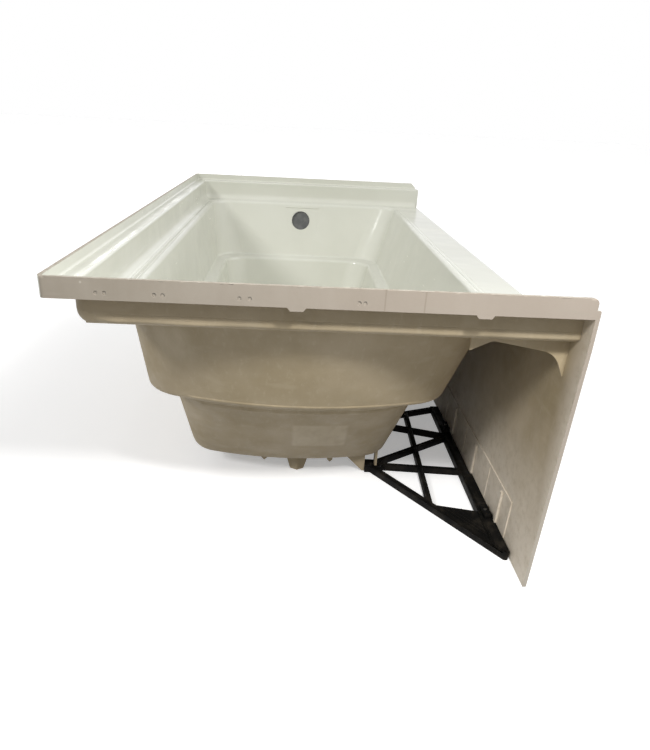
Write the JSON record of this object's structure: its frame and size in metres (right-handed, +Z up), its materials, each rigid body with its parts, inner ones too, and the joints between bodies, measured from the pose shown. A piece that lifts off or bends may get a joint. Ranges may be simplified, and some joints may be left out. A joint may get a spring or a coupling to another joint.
{
  "type": "bathtub",
  "caption": "Alcove bathtub with integral front apron, tile flange on three sides, stepped basin, overflow and drain holes, and floor-level support frames.",
  "frame": {"origin": "middle of the footprint on the floor, at the foot of the apron and the frames", "axes": "+X to the end with the overflow and drain, +Y to the back wall with the apron at -Y, +Z up"},
  "size_m": [1.524, 0.762, 0.495],
  "materials": {
    "shell": "glossy off-white skin inside, matte grey-beige moulding face underneath",
    "apron": "glossy off-white face, matte grey-beige moulding face behind",
    "frame": "black moulded plastic with a dull sheen",
    "clip": "black moulded plastic with toothed edge",
    "screw": "bright steel screw heads"
  },
  "bodies": {
    "root": {"tub_shell": "shell", "apron": "apron", "lattice_frame_near": "frame", "lattice_frame_far": "frame", "corner_brace_near": "frame", "corner_brace_far": "frame", "rail_clip_1": "clip", "rail_clip_2": "clip", "rail_clip_3": "clip", "rail_clip_4": "clip", "clip_screws": "screw"}
  },
  "joints": []
}
